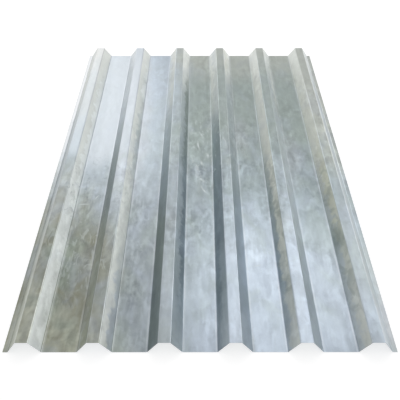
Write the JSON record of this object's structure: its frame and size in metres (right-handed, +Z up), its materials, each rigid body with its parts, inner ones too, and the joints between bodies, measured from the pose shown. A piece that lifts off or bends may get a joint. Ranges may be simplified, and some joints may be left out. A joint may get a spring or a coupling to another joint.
{
  "type": "corrugated metal sheet",
  "caption": "Galvanised steel sheet roll-formed with narrow trapezoidal ribs between broad flat valleys, for roofs, walls and fences.",
  "frame": {"origin": "centre of the sheet's footprint, at the level that the valleys lie on", "axes": "+Y along the ribs, +X across the sheet, +Z up out of the valleys through the crests"},
  "size_m": [1.12, 1.8, 0.044],
  "materials": {
    "galvanised_steel": "hot-dip galvanised zinc, dull mottled spangle with pale blue sheen and olive-grey weathering"
  },
  "bodies": {
    "root": {"corrugated_sheet": "galvanised_steel"}
  },
  "joints": []
}
